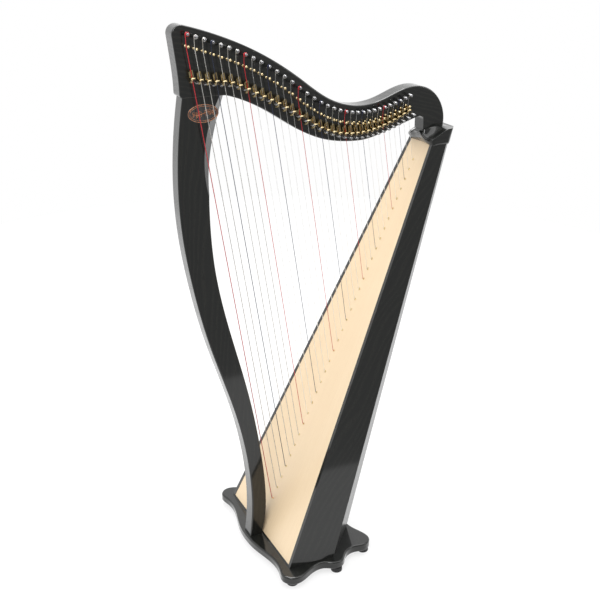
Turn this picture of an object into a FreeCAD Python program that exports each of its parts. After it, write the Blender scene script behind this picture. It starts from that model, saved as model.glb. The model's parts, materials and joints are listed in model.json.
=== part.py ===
import FreeCAD, Part
import math
import os

# Lever harp with 34 strings, C2 to A6.  Millimetres.
# +Z is up, the pillar stands at -X, the player sits at +X, and the strings and
# levers are on the -Y side of the neck.  The origin is on the floor, under the
# middle of the instrument.

V = FreeCAD.Vector

# ---------------------------------------------------------------- dimensions
STRING_COUNT = 34
NECK_THICK = 44.0
PILLAR_THICK = 40.0
EDGE_ROUND = 3.0

FOOT_HEIGHT = 13.0
FOOT_RADIUS = 14.0
FOOT_EDGE = 3.5
PLATE_THICK = 20.0
PLATE_EDGE = 4.0
FLOOR_TO_BOX = FOOT_HEIGHT + PLATE_THICK
BOX_TOP = 1012.0

BOARD_LEAN = math.radians(24.0)
BOARD_THICK = 4.0
BINDING_WIDTH = 10.5
BINDING_DEPTH = 5.5
BINDING_PROUD = 0.8
WALL = 9.0
SILL_HEIGHT = 4.5

# Half widths and depths of the soundbox, at its bottom and at its top.
HALF_WIDTH = (188.0, 52.7)
SIDE_DEPTH = (118.5, 39.5)
BEVEL_DEPTH = (91.0, 21.0)
BEVEL_SLOPE = 107.0 / 91.0

FIRST_HOLE = V(-117.7, 0, 117.8)
HOLE_PITCH = 28.2
HOLE_GRADING = 0.105

RIB_THICK = 6.0
RIB_HALF_WIDTH = (15.0, 8.0)
EYELET_FLANGE = (3.0, 0.9)
EYELET_BARREL = 2.0
EYELET_GAP = 0.15
KNOT_RADIUS = 2.3
KNOT_GAP = 0.1
EYELET_RISE = 0.3
BEND_SWELL = 0.02

BRIDGE_STANDOFF = 13.0
BRIDGE_PIN_RADIUS = 1.6
BRIDGE_PIN_DEPTH = 18.0
BRIDGE_HEAD_RADIUS = 3.1
BRIDGE_HEAD_GAP = 2.0
BRIDGE_COLLAR = (2.5, 1.2)
TUNING_RISE = 25.0
TUNING_DRIFT = 4.0
TUNING_PIN_RADIUS = 3.0
TUNING_PIN_REACH = (21.0, 22.0)
TUNING_SQUARE = 5.0
TUNING_SHOULDER = 4.0
PIN_CHAMFER = 0.8
COIL_STANDOFF = 14.0
COIL_TURNS = 3

# Levers.  Along the string, lengths count from the fret, down the string.
SEMITONE = 1.0 - 2.0 ** (-1.0 / 12.0)
FRET_TRIM = 9.5
FRET_TRIM_AT = 5.0
FRET_TRIM_SPREAD = 2.4
FRET_HALF = 1.2
FRET_GAP = 0.7
LEVER_SWING = 55.0
LEVER_REST = (78.0, 74.0)
LEVER_LENGTH = 27.0
LEVER_HUB = 2.9
LEVER_ARM = (9.0, 1.7)
PADDLE_START = 5.5
PADDLE_HALF = (3.9, 1.9)
PADDLE_ROUND = 1.5
CAM_RADIUS = 2.3
CAM_THROW = 1.5
PIVOT_FROM_FRET = 3.0
PIVOT_OVER_STRING = 4.0
PIVOT_PIN_RADIUS = 1.0
PIVOT_PIN_PROUD = 0.4
CHEEK_OUT = 4.6
CHEEK_IN = 3.3
EYE_RADIUS = 3.2
BRACKET_TOP = -15.0
BRACKET_BOTTOM = 13.6
BRACKET_FLOOR = 1.5
BRACKET_ROUND = 2.5
BRIDGE_PIN_SPACE = 4.0
CHANNEL_BOTTOM = 10.0
CHANNEL_BELOW_STRING = 2.0
END_WALL = 1.3
EAR_WIDTH = 2.2
EAR_GAP = 1.2
EAR_OVER_STRING = 4.5
LEVER_SCREWS_AT = (5.2, 11.2)
LEVER_SCREW = (1.3, 2.2, 1.3, 10.0)
LEVER_SCREW_SLOT = (0.6, 0.6)

RUNNING_CLEARANCE = 0.05
SEAT_CLEARANCE = 0.02

DOWEL_RADIUS = 6.0
DOWEL_HALF_LENGTH = 30.0
PILLAR_TOP = 1163.0
PILLAR_FOOT = (-190.0, -158.0)
NECK_FOOT = (273.0, 326.0)
SEAT_HEIGHT = 1044.0
CAP_OVERHANG = 3.0


# ------------------------------------------------------------------- helpers
def save(shape, name):
    os.makedirs("parts", exist_ok=True)
    shape.exportStep("parts/" + name + ".step")


def between(pair, share):
    return pair[0] + (pair[1] - pair[0]) * share


def group(solids):
    return Part.makeCompound(solids)


def fuse(solids):
    return solids[0].multiFuse(solids[1:]).removeSplitter()


def on_side(points):
    """Points (x, z) of a side view, in the middle plane."""
    return [V(x, 0, z) for x, z in points]


def curve(points):
    spline = Part.BSplineCurve()
    spline.interpolate(points)
    return spline


def box_between(low, high):
    size = [b - a for a, b in zip(low, high)]
    return Part.makeBox(size[0], size[1], size[2], V(*low))


def flat_solid(lower, upper):
    """Solid with flat faces between two rings with the same number of corners."""
    count = len(lower)
    rings = [lower, upper]
    faces = [Part.Face(Part.makePolygon(ring + [ring[0]])) for ring in rings]
    for i in range(count):
        j = (i + 1) % count
        quad = [lower[i], lower[j], upper[j], upper[i], lower[i]]
        faces.append(Part.Face(Part.makePolygon(quad)))
    solid = Part.Solid(Part.Shell(faces))
    if solid.Volume < 0:
        solid.reverse()
    return solid


def standing(outline_at, low, high):
    """Solid between two heights, from a function that gives its outline there."""
    rings = [[V(x, y, z) for x, y in outline_at(z)] for z in (low, high)]
    return flat_solid(rings[0], rings[1])


def mirrored(shape):
    return shape.mirror(V(0, 0, 0), V(0, 1, 0))


def rounded_slab(edges, half, corners, rounding):
    """Extrudes a closed side view by +-half in Y, rounds the named corners, then the rim."""
    face = Part.Face(Part.Wire(edges))
    slab = face.extrude(V(0, 2 * half, 0))
    for x, z, radius in corners:
        near = [e for e in slab.Edges if is_corner(e, x, z)]
        slab = slab.makeFillet(radius, near)
    rim = [e for e in slab.Edges if lies_on_face(e, half)]
    return slab.makeFillet(rounding, rim)


def is_corner(edge, x, z):
    ends = [v.Point for v in edge.Vertexes]
    return len(ends) == 2 and all(abs(p.x - x) < 0.1 and abs(p.z - z) < 0.1 for p in ends)


def lies_on_face(edge, half):
    box = edge.BoundBox
    return box.YLength < 0.01 and abs(abs(box.YMin) - half) < 0.01


# ---------------------------------------------------- lines the harp hangs on
def board_x(z):
    """X of the soundboard's front face at a height."""
    return FIRST_HOLE.x + (z - FIRST_HOLE.z) * math.tan(BOARD_LEAN)


def up_the_box(z):
    return (z - FLOOR_TO_BOX) / (BOX_TOP - FLOOR_TO_BOX)


def half_width(z):
    return between(HALF_WIDTH, up_the_box(z))


BOARD_UP = V(math.sin(BOARD_LEAN), 0, math.cos(BOARD_LEAN))
BOARD_OUT = V(-math.cos(BOARD_LEAN), 0, math.sin(BOARD_LEAN))

BRIDGE_LINE = curve(on_side([
    (-330, 1278), (-241, 1247), (-168, 1215), (-94, 1170), (-24, 1118),
    (41, 1086), (102, 1077), (156, 1084), (222, 1106), (250, 1118)]))


def string_hole(k):
    graded = k + HOLE_GRADING * k * (33 - k) / 33.0
    return FIRST_HOLE + BOARD_UP * (HOLE_PITCH * graded)


def string_slope(k):
    """Horizontal run of a string for each unit that it rises."""
    return 0.171 + 0.113 * (k / 33.0) ** 4


def bridge_pin_axis(k):
    """Axis of bridge pin k, on the line of the pins in the side view."""
    hole = string_hole(k)
    low, high = BRIDGE_LINE.FirstParameter, BRIDGE_LINE.LastParameter
    for _ in range(50):
        middle = (low + high) / 2
        point = BRIDGE_LINE.value(middle)
        if point.x < hole.x - (point.z - hole.z) * string_slope(k):
            low = middle
        else:
            high = middle
    return V(point.x, -NECK_THICK / 2 - BRIDGE_STANDOFF, point.z)


def bridge_point(k):
    """Where string k bears on its bridge pin, on the pillar's side."""
    reach = BRIDGE_PIN_RADIUS + string_radius(k) + RUNNING_CLEARANCE
    return bridge_pin_axis(k) - V(reach / math.cos(math.atan(string_slope(k))), 0, 0)


def tuning_point(k):
    """Axis of tuning pin k, at the string's coil."""
    bridge = bridge_pin_axis(k)
    drift = TUNING_DRIFT * k / (STRING_COUNT - 1)
    return V(bridge.x + drift, -NECK_THICK / 2 - COIL_STANDOFF, bridge.z + TUNING_RISE)


def string_radius(k):
    return 0.95 - 0.55 * (k / 33.0) ** 0.6


# -------------------------------------------------------------------- frame
def neck_edges():
    nose = V(-347, 0, 1322)
    heel_back = V(NECK_FOOT[1], 0, SEAT_HEIGHT)
    heel_front = V(NECK_FOOT[0], 0, SEAT_HEIGHT)
    armpit = V(NECK_FOOT[0], 0, 1081)
    joint = V(-228, 0, PILLAR_TOP)
    chin = V(-332, 0, PILLAR_TOP)
    top = curve([nose] + on_side([
        (-304, 1311.5), (-252, 1295), (-143, 1247), (-48, 1186), (32, 1132), (94, 1115.5),
        (157, 1123), (205, 1141), (246, 1149), (285, 1140), (314, 1113), (328, 1076)]) + [heel_back])
    under = curve([armpit] + on_side([
        (219, 1064), (169, 1048), (117, 1034.5), (75, 1034), (20, 1042),
        (-67, 1080), (-125, 1117), (-182, 1147)]) + [joint])
    front = curve([chin] + on_side([(-334, 1212), (-339, 1255)]) + [nose])
    edges = [top.toShape(), Part.makeLine(heel_back, heel_front),
             Part.makeLine(heel_front, armpit), under.toShape(),
             Part.makeLine(joint, chin), front.toShape()]
    for edge in edges:
        edge.translate(V(0, -NECK_THICK / 2, 0))
    corners = [(nose.x, nose.z, 20.0), (chin.x, chin.z, 9.0), (armpit.x, armpit.z, 11.0)]
    return edges, corners


def neck():
    edges, corners = neck_edges()
    body = rounded_slab(edges, NECK_THICK / 2, corners, EDGE_ROUND)
    return body.cut(group(neck_bores()))


def neck_bores():
    face = -NECK_THICK / 2
    bores = []
    for k in range(STRING_COUNT):
        pin = tuning_point(k)
        bores.append(bore(pin.x, pin.z, face - 1, NECK_THICK + 2, TUNING_PIN_RADIUS))
        pin = bridge_pin_axis(k)
        bores.append(bore(pin.x, pin.z, face - 1, BRIDGE_PIN_DEPTH + 1, BRIDGE_PIN_RADIUS))
        bores.extend(screw_pilots(k))
    bores.extend(dowels(SEAT_CLEARANCE))
    return bores


def bore(x, z, start, length, radius):
    return Part.makeCylinder(radius + SEAT_CLEARANCE, length, V(x, start, z), V(0, 1, 0))


def pillar():
    top_front = V(-326, 0, PILLAR_TOP)
    top_back = V(-228, 0, PILLAR_TOP)
    foot_front = V(PILLAR_FOOT[0], 0, FLOOR_TO_BOX)
    foot_back = V(PILLAR_FOOT[1], 0, FLOOR_TO_BOX)
    inner = curve([top_back] + on_side([
        (-246, 1088), (-266, 1001), (-271, 900), (-262, 767), (-231, 613),
        (-189, 448), (-157, 275), (-145, 150), (-147, 85)]) + [foot_back])
    outer = curve([foot_front] + on_side([
        (-183, 130), (-189, 227), (-225, 402), (-279, 571), (-317, 727),
        (-339, 873), (-343, 975), (-336, 1090)]) + [top_front])
    edges = [inner.toShape(), Part.makeLine(foot_back, foot_front), outer.toShape(),
             Part.makeLine(top_front, top_back)]
    for edge in edges:
        edge.translate(V(0, -PILLAR_THICK / 2, 0))
    post = Part.Face(Part.Wire(edges)).extrude(V(0, PILLAR_THICK, 0))
    long_edges = [e for e in post.Edges
                  if lies_on_face(e, PILLAR_THICK / 2) and e.BoundBox.ZLength > 500]
    post = post.makeFillet(EDGE_ROUND, long_edges)
    foot_screw = screw_hole(*BASE_SCREWS[-1])
    return post.cut(group([pillar_scoop(), badge_recess(), foot_screw] + dowels(SEAT_CLEARANCE)))


def pillar_scoop():
    """Hollow along the inner edge that leaves room for the lowest strings."""
    radius, depth, length = 420.0, 9.0, 500.0
    corner = V(-268, -PILLAR_THICK / 2, 1012)
    outward = V(1, -1, 0).normalize()
    along = V(1, 1, 0).normalize()
    centre = corner + outward * (radius - depth)
    return Part.makeCylinder(radius, length, centre - along * (length / 2), along)


BADGE_CENTRE = V(-280, -PILLAR_THICK / 2, 1128)
BADGE_HALF = (35.5, 20.5)
BADGE_THICK = 1.0


def badge_disc(grow, depth):
    ellipse = Part.Ellipse(BADGE_CENTRE, BADGE_HALF[0] + grow, BADGE_HALF[1] + grow)
    face = Part.Face(Part.Wire([ellipse.toShape()]))
    face.rotate(BADGE_CENTRE, V(1, 0, 0), 90)
    return face.extrude(V(0, depth, 0))


def badge_recess():
    return badge_disc(SEAT_CLEARANCE, BADGE_THICK / 2)


def badge():
    plate = badge_disc(0, BADGE_THICK)
    plate.translate(V(0, -BADGE_THICK / 2, 0))
    return plate


def dowels(grow=0.0):
    """Two dowels from the pillar and one from the soundbox up into the neck."""
    radius, half = DOWEL_RADIUS + grow, DOWEL_HALF_LENGTH + grow
    places = [V(-300, 0, PILLAR_TOP), V(-255, 0, PILLAR_TOP), V(300, 0, SEAT_HEIGHT - 12)]
    return [Part.makeCylinder(radius, 2 * half, p - V(0, 0, half)) for p in places]


# ----------------------------------------------------------------- soundbox
def side_back(z):
    return board_x(z) + between(SIDE_DEPTH, up_the_box(z))


def bevel_back(z):
    return side_back(z) + between(BEVEL_DEPTH, up_the_box(z))


def back_half(z):
    return half_width(z) - between(BEVEL_DEPTH, up_the_box(z)) * BEVEL_SLOPE


BEVEL_NORMAL = V(BEVEL_SLOPE, 1, 0).normalize()
SIDE_MITRE = (1 - BEVEL_NORMAL.y) / BEVEL_NORMAL.x
BACK_MITRE = (1 - BEVEL_NORMAL.x) / BEVEL_NORMAL.y


def box_corners(z, inset):
    """Corners of half the soundbox at a height: front, side to bevel, bevel to back."""
    return [(board_x(z) + BINDING_DEPTH, half_width(z) - inset),
            (side_back(z) - inset * SIDE_MITRE, half_width(z) - inset),
            (bevel_back(z) - inset, back_half(z) - inset * BACK_MITRE)]


def side_outline(z):
    outer, inner = box_corners(z, 0), box_corners(z, WALL)
    return [outer[0], outer[1], inner[1], inner[0]]


def bevel_outline(z):
    outer, inner = box_corners(z, 0), box_corners(z, WALL)
    return [outer[1], outer[2], inner[2], inner[1]]


def back_outline(z):
    x_out, y_out = box_corners(z, 0)[2]
    x_in, y_in = box_corners(z, WALL)[2]
    return [(x_out, -y_out), (x_out, y_out), (x_in, y_in), (x_in, -y_in)]


def wall(outline):
    return standing(outline, FLOOR_TO_BOX, BOX_TOP)


def back_lean():
    run = bevel_back(BOX_TOP) - bevel_back(FLOOR_TO_BOX)
    return math.atan2(run, BOX_TOP - FLOOR_TO_BOX)


SOUND_HOLES = [(170, 44, 120), (345, 38, 110), (510, 32, 96), (665, 27, 82), (805, 22, 68)]


def sound_hole(z, half, length):
    """Long round-ended opening through the back, centred at height z."""
    lean = math.degrees(back_lean())
    straight = length - 2 * half if length > 2 * half else 1.0
    depth = 4 * WALL
    slot = Part.makeBox(depth, 2 * half, straight, V(-depth / 2, -half, -straight / 2))
    ends = [Part.makeCylinder(half, depth, V(-depth / 2, 0, s * straight / 2), V(1, 0, 0))
            for s in (-1, 1)]
    cutter = fuse([slot] + ends)
    cutter.rotate(V(0, 0, 0), V(0, 1, 0), lean)
    cutter.translate(V(bevel_back(z) - WALL / 2, 0, z))
    return cutter


def back_panel():
    return wall(back_outline).cut(group([sound_hole(*hole) for hole in SOUND_HOLES]))


def board_outline(z):
    x, y = board_x(z), half_width(z) - BINDING_WIDTH
    deep = x + BOARD_THICK / math.cos(BOARD_LEAN)
    return [(x, -y), (x, y), (deep, y), (deep, -y)]


def through_board(k, radius):
    start = string_hole(k) - BOARD_OUT * 30
    return Part.makeCylinder(radius, 60, start, BOARD_OUT)


def soundboard():
    board = standing(board_outline, FLOOR_TO_BOX + SILL_HEIGHT, BOX_TOP)
    radius = EYELET_BARREL + SEAT_CLEARANCE
    return board.cut(group([through_board(k, radius) for k in range(STRING_COUNT)]))


def binding_outline(z):
    x, y = board_x(z), half_width(z)
    proud = x - BINDING_PROUD
    return [(proud, y - BINDING_WIDTH), (proud, y), (x + BINDING_DEPTH, y),
            (x + BINDING_DEPTH, y - BINDING_WIDTH)]


def sill_outline(z):
    x, y = board_x(z), half_width(z) - BINDING_WIDTH
    proud = x - BINDING_PROUD
    return [(proud, -y), (proud, y), (x + BINDING_DEPTH, y), (x + BINDING_DEPTH, -y)]


def board_bindings():
    strip = wall(binding_outline)
    sill = standing(sill_outline, FLOOR_TO_BOX, FLOOR_TO_BOX + SILL_HEIGHT)
    return fuse([strip, mirrored(strip), sill])


def inside_board(z):
    return board_x(z) + BOARD_THICK / math.cos(BOARD_LEAN)


RIB_RANGE = (75.0, 976.0)
BLOCK_HEIGHT = 30.0
TOP_BLOCK_BOTTOM = 980.0


def rib_outline(z):
    share = (z - RIB_RANGE[0]) / (RIB_RANGE[1] - RIB_RANGE[0])
    y, x = between(RIB_HALF_WIDTH, share), inside_board(z)
    deep = x + RIB_THICK / math.cos(BOARD_LEAN)
    return [(x, -y), (x, y), (deep, y), (deep, -y)]


def string_rib():
    rib = standing(rib_outline, *RIB_RANGE)
    radius = max(string_radius(0), 1.0) + 0.2
    return rib.cut(group([through_board(k, radius) for k in range(STRING_COUNT)]))


def inner_outline(z):
    front, side, back = box_corners(z, WALL + SEAT_CLEARANCE)
    x = board_x(z) + BINDING_DEPTH + SEAT_CLEARANCE
    half = [(x, front[1]), side, back]
    return half + [(px, -py) for px, py in reversed(half)]


def end_blocks():
    bottom = standing(inner_outline, FLOOR_TO_BOX, FLOOR_TO_BOX + BLOCK_HEIGHT)
    top = standing(inner_outline, TOP_BLOCK_BOTTOM, BOX_TOP)
    return group([bottom, top.cut(group(dowels(SEAT_CLEARANCE)))])


LINING = (16.0, 14.0)
BRACE_HEIGHTS = (250.0, 430.0, 600.0, 760.0)
BRACE_THICK = 14.0
BRACE_DEPTH = 24.0


def lining_outline(z):
    x = board_x(z) + BINDING_DEPTH + SEAT_CLEARANCE
    y = half_width(z) - WALL - SEAT_CLEARANCE
    return [(x, y - LINING[1]), (x, y), (x + LINING[0], y), (x + LINING[0], y - LINING[1])]


def brace_outline(z):
    back = bevel_back(z) - WALL - SEAT_CLEARANCE
    y = back_half(z) - WALL * BACK_MITRE - SEAT_CLEARANCE
    return [(back - BRACE_DEPTH, -y), (back - BRACE_DEPTH, y), (back, y), (back, -y)]


def box_framing():
    """Linings that the soundboard is glued to, and cross bars on the back panel."""
    lining = standing(lining_outline, FLOOR_TO_BOX + BLOCK_HEIGHT, TOP_BLOCK_BOTTOM)
    bars = [standing(brace_outline, z, z + BRACE_THICK) for z in BRACE_HEIGHTS]
    return group([lining, mirrored(lining)] + bars)


def cap_outline(z):
    rise = (z - BOX_TOP) / (SEAT_HEIGHT - BOX_TOP)
    front = between((board_x(BOX_TOP) - 1.5, 266.0), rise)
    side = half_width(BOX_TOP) + CAP_OVERHANG + 2.0 * rise
    shoulder = between((side_back(BOX_TOP) + 4, side_back(BOX_TOP) + 13), rise)
    back = between((bevel_back(BOX_TOP) + 3, 350.0), rise)
    tail = back_half(BOX_TOP) + CAP_OVERHANG + 3.0 * rise
    half = [(front, side), (shoulder, side), (back, tail)]
    return half + [(x, -y) for x, y in reversed(half)]


def shoulder_cap():
    """Moulded cap on the soundbox, with a flat seat that the neck stands on."""
    rings = [[V(x, y, z) for x, y in cap_outline(z)] for z in (BOX_TOP, SEAT_HEIGHT)]
    block = Part.makeLoft([Part.makePolygon(ring + [ring[0]]) for ring in rings], True, True)
    above = ((200, 1028), (266, 1028), (318, SEAT_HEIGHT), (200, 1100))
    slope = flat_solid([V(x, -80, z) for x, z in above], [V(x, 80, z) for x, z in above])
    seat = box_between((NECK_FOOT[0], -NECK_THICK / 2, BOX_TOP + 8),
                       (NECK_FOOT[1], NECK_THICK / 2, SEAT_HEIGHT))
    cap = fuse([block.cut(slope), seat])
    return cap.cut(group(dowels(SEAT_CLEARANCE)))


# --------------------------------------------------------------------- base
def base_plate():
    half = [(-196, -30), (-187, -78), (-176, -130), (-178, -175), (-181, -208), (-161, -227),
            (-132, -222), (-100, -204), (-66, -199), (-42, -211), (-20, -207), (-2, -186),
            (30, -169), (62, -171), (84, -151), (80, -117), (66, -82), (66, -30)]
    points = [V(x, y, FOOT_HEIGHT) for x, y in half + [(x, -y) for x, y in reversed(half)]]
    outline = Part.BSplineCurve()
    outline.interpolate(Points=points, PeriodicFlag=True)
    plate = Part.Face(Part.Wire([outline.toShape()])).extrude(V(0, 0, PLATE_THICK))
    plate = plate.makeFillet(PLATE_EDGE, [e for e in plate.Edges if e.BoundBox.ZLength < 0.01])
    return plate.cut(group([screw_hole(x, y) for x, y in BASE_SCREWS]))


FEET = [(-155, 202), (-33, 198), (66, 150)]
BASE_SCREWS = [(-120, 150), (-120, -150), (-20, 130), (-20, -130), (30, 0), (-174, 0)]
SCREW_RADIUS = 2.5
SCREW_HEAD = (5.0, 4.0)
SCREW_HEAD_GAP = 0.5
SCREW_SLOT = (1.2, 1.4)
SCREW_LENGTH = 38.0
SCREW_HOLE = 60.0


def screw_hole(x, y):
    start = V(x, y, FOOT_HEIGHT - 1)
    shank = Part.makeCylinder(SCREW_RADIUS + SEAT_CLEARANCE, SCREW_HOLE, start)
    head = Part.makeCylinder(SCREW_HEAD[0] + SCREW_HEAD_GAP, SCREW_HEAD[1] + 1, start)
    return fuse([shank, head])


def base_screw(x, y):
    radius, height = SCREW_HEAD
    head = Part.makeCylinder(radius, height, V(x, y, FOOT_HEIGHT))
    shank = Part.makeCylinder(SCREW_RADIUS, SCREW_LENGTH, V(x, y, FOOT_HEIGHT))
    width, depth = SCREW_SLOT
    slot = Part.makeBox(2 * radius, width, depth, V(x - radius, y - width / 2, FOOT_HEIGHT))
    return fuse([head, shank]).cut(slot)


def base_screws():
    return group([base_screw(x, y) for x, y in BASE_SCREWS])


def base_foot(x, y):
    foot = Part.makeCylinder(FOOT_RADIUS, FOOT_HEIGHT, V(x, y, 0))
    return foot.makeFillet(FOOT_EDGE, [e for e in foot.Edges if abs(e.BoundBox.ZMax) < 0.01])


def base_feet():
    return group([base_foot(x, side * y) for x, y in FEET for side in (-1, 1)])


# -------------------------------------------------------- pins and eyelets
def tuning_pin(k):
    """Pin through the neck, with a squared end for the key on the far side."""
    centre = tuning_point(k)
    near = -NECK_THICK / 2 - TUNING_PIN_REACH[0]
    far = NECK_THICK / 2 + TUNING_SHOULDER
    shaft = Part.makeCylinder(TUNING_PIN_RADIUS, far - near, V(centre.x, near, centre.z), V(0, 1, 0))
    nose = [e for e in shaft.Edges if abs(e.BoundBox.YMax - near) < 0.01]
    shaft = shaft.makeChamfer(PIN_CHAMFER, nose)
    reach = TUNING_PIN_REACH[1] - TUNING_SHOULDER
    key = Part.makeBox(TUNING_SQUARE, reach, TUNING_SQUARE,
                       V(centre.x - TUNING_SQUARE / 2, far, centre.z - TUNING_SQUARE / 2))
    ends = [e for e in key.Edges if abs(e.BoundBox.YMin - far - reach) < 0.01]
    return fuse([shaft, key.makeChamfer(PIN_CHAMFER, ends)])


def bridge_pin(k):
    """Brass pin with a ball head; the string bears on it just inside the head."""
    axis = bridge_pin_axis(k)
    start = -NECK_THICK / 2 + BRIDGE_PIN_DEPTH
    end = axis.y - string_radius(k) - BRIDGE_HEAD_RADIUS - BRIDGE_HEAD_GAP
    shaft = Part.makeCylinder(BRIDGE_PIN_RADIUS, start - end, V(axis.x, end, axis.z), V(0, 1, 0))
    head = Part.makeSphere(BRIDGE_HEAD_RADIUS, V(axis.x, end, axis.z))
    radius, height = BRIDGE_COLLAR
    collar = Part.makeCylinder(radius, height, V(axis.x, -NECK_THICK / 2, axis.z), V(0, -1, 0))
    return fuse([shaft, head, collar])


def eyelet(k):
    surface = string_hole(k)
    radius, height = EYELET_FLANGE
    flange = Part.makeCylinder(radius, height, surface + BOARD_OUT * SEAT_CLEARANCE, BOARD_OUT)
    length = BOARD_THICK
    barrel = Part.makeCylinder(EYELET_BARREL, length + height, surface - BOARD_OUT * length, BOARD_OUT)
    return fuse([flange, barrel]).cut(through_board(k, string_radius(k) + EYELET_GAP))


# ------------------------------------------------------------------ strings
def rod(start, end, radius):
    step = end - start
    return Part.makeCylinder(radius, step.Length, start, step)


def string(k):
    """One string: knot, run through the eyelet, speaking length, pin and coil."""
    radius = string_radius(k)
    hole, contact, pin = string_hole(k), bridge_point(k), tuning_point(k)
    knot = hole - BOARD_OUT * (BOARD_THICK + RIB_THICK + KNOT_RADIUS + KNOT_GAP)
    exit_point = hole + BOARD_OUT * (EYELET_FLANGE[1] + radius + EYELET_RISE)
    coil_in, coil_out = TUNING_PIN_RADIUS + SEAT_CLEARANCE, TUNING_PIN_RADIUS + 2 * radius
    coil_length = 2 * radius * COIL_TURNS
    coil_start = V(pin.x, pin.y - coil_length / 2, pin.z)
    coil = Part.makeCylinder(coil_out, coil_length, coil_start, V(0, 1, 0))
    core = Part.makeCylinder(coil_in, coil_length + 2, coil_start - V(0, 1, 0), V(0, 1, 0))
    tangent = V(pin.x - TUNING_PIN_RADIUS - radius - RUNNING_CLEARANCE, pin.y, pin.z)
    bends = [Part.makeSphere(radius + BEND_SWELL, point) for point in (exit_point, contact)]
    runs = [rod(knot, exit_point, radius), rod(exit_point, contact, radius),
            rod(contact, tangent, radius)]
    pieces = [Part.makeSphere(KNOT_RADIUS, knot), coil.cut(core)] + bends + runs
    return fuse(pieces)


WOUND_STRINGS = range(0, 7)
PLAIN_STRINGS = range(7, STRING_COUNT)


# ------------------------------------------------------------------- levers
def string_run(k):
    """Speaking length of string k in the side view, as a vector down the string."""
    hole, contact = string_hole(k), bridge_point(k)
    return V(hole.x - contact.x, 0, hole.z - contact.z)


def fret_distance(k):
    """Distance from bridge pin to fret; some low strings want theirs a little higher."""
    trim = FRET_TRIM * math.exp(-((k - FRET_TRIM_AT) / FRET_TRIM_SPREAD) ** 2)
    return string_run(k).Length * SEMITONE - trim


def lever_frame(k):
    """Placement of lever k: X down along the string, Y across, Z out from the neck.

    The origin is on the neck face, under the fret that shortens string k by a semitone.
    """
    contact, down = bridge_point(k), string_run(k).normalize()
    out = V(0, -1, 0)
    across = out.cross(down)
    fret = contact + down * fret_distance(k)
    origin = V(fret.x, -NECK_THICK / 2, fret.z)
    matrix = FreeCAD.Matrix(down.x, across.x, out.x, origin.x,
                            down.y, across.y, out.y, origin.y,
                            down.z, across.z, out.z, origin.z)
    return FreeCAD.Placement(matrix)


def string_height(k, down):
    """Height of string k over the neck face, this far below its fret."""
    fall = (string_hole(k).y - bridge_point(k).y) / string_run(k).Length
    return BRIDGE_STANDOFF - fall * (fret_distance(k) + down)


def pivot_height(k):
    return string_height(k, PIVOT_FROM_FRET) + string_radius(k) + PIVOT_OVER_STRING


def placed(shape, k):
    shape.transformShape(lever_frame(k).toMatrix())
    return shape


def across_rod(radius, half, x, z):
    return Part.makeCylinder(radius, 2 * half, V(x, -half, z), V(0, 1, 0))


def bracket_top(k):
    """Upper end of bracket k, which stops short of the bridge pin."""
    return max(BRACKET_TOP, BRIDGE_PIN_SPACE - fret_distance(k))


def bracket_floor(k):
    floor = box_between((bracket_top(k), -CHEEK_OUT, 0), (BRACKET_BOTTOM, CHEEK_OUT, BRACKET_FLOOR))
    ends = [e for e in floor.Edges
            if e.BoundBox.ZLength > 1 and e.BoundBox.XMin > BRACKET_BOTTOM - 0.1]
    return floor.makeFillet(BRACKET_ROUND, ends)


def bracket_side(k, low, high):
    """Side wall of the channel with the cheek that carries the pivot pin."""
    top, pivot = bracket_top(k), pivot_height(k)
    rail_height = string_height(k, 0) - CHANNEL_BELOW_STRING
    rail = box_between((top, low, 0), (CHANNEL_BOTTOM, high, rail_height))
    cheek = box_between((PIVOT_FROM_FRET - EYE_RADIUS, low, 0),
                        (PIVOT_FROM_FRET + EYE_RADIUS, high, pivot))
    eye = Part.makeCylinder(EYE_RADIUS, high - low, V(PIVOT_FROM_FRET, low, pivot), V(0, 1, 0))
    return [rail, cheek, eye]


def lever_bracket(k):
    """Brass channel with a fret under the string, an ear beside it and two cheeks."""
    top, string_at = bracket_top(k), string_height(k, 0)
    fret_top = string_at - string_radius(k) - FRET_GAP
    fret = box_between((-FRET_HALF, -CHEEK_IN, 0), (FRET_HALF, CHEEK_IN, fret_top))
    end_wall = box_between((top, -CHEEK_OUT, 0),
                           (top + END_WALL, CHEEK_OUT, string_at - CHANNEL_BELOW_STRING))
    ear = box_between((top, -CHEEK_OUT, 0),
                      (top + EAR_WIDTH, -EAR_GAP - string_radius(k), string_at + EAR_OVER_STRING))
    sides = bracket_side(k, CHEEK_IN, CHEEK_OUT) + bracket_side(k, -CHEEK_OUT, -CHEEK_IN)
    body = fuse([bracket_floor(k), fret, end_wall, ear] + sides)
    cutters = [across_rod(PIVOT_PIN_RADIUS + SEAT_CLEARANCE, 2 * CHEEK_OUT,
                          PIVOT_FROM_FRET, pivot_height(k))]
    for x in LEVER_SCREWS_AT:
        hole = Part.makeCylinder(LEVER_SCREW[0] + SEAT_CLEARANCE, 2 * BRACKET_FLOOR,
                                 V(x, 0, -BRACKET_FLOOR / 2))
        cutters.append(hole)
    return placed(body.cut(group(cutters)), k)


def lever_screw(k, x):
    radius, head_radius, head_height, depth = LEVER_SCREW
    width, cut = LEVER_SCREW_SLOT
    shank = Part.makeCylinder(radius, depth + BRACKET_FLOOR, V(x, 0, -depth))
    head = Part.makeCylinder(head_radius, head_height, V(x, 0, BRACKET_FLOOR))
    top = BRACKET_FLOOR + head_height
    slot = box_between((x - head_radius, -width / 2, top - cut),
                       (x + head_radius, width / 2, top + cut))
    return placed(fuse([shank, head]).cut(slot), k)


def screw_pilots(k):
    radius, depth = LEVER_SCREW[0] + SEAT_CLEARANCE, LEVER_SCREW[3] + 1
    return [placed(Part.makeCylinder(radius, depth + 1, V(x, 0, -depth)), k)
            for x in LEVER_SCREWS_AT]


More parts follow.
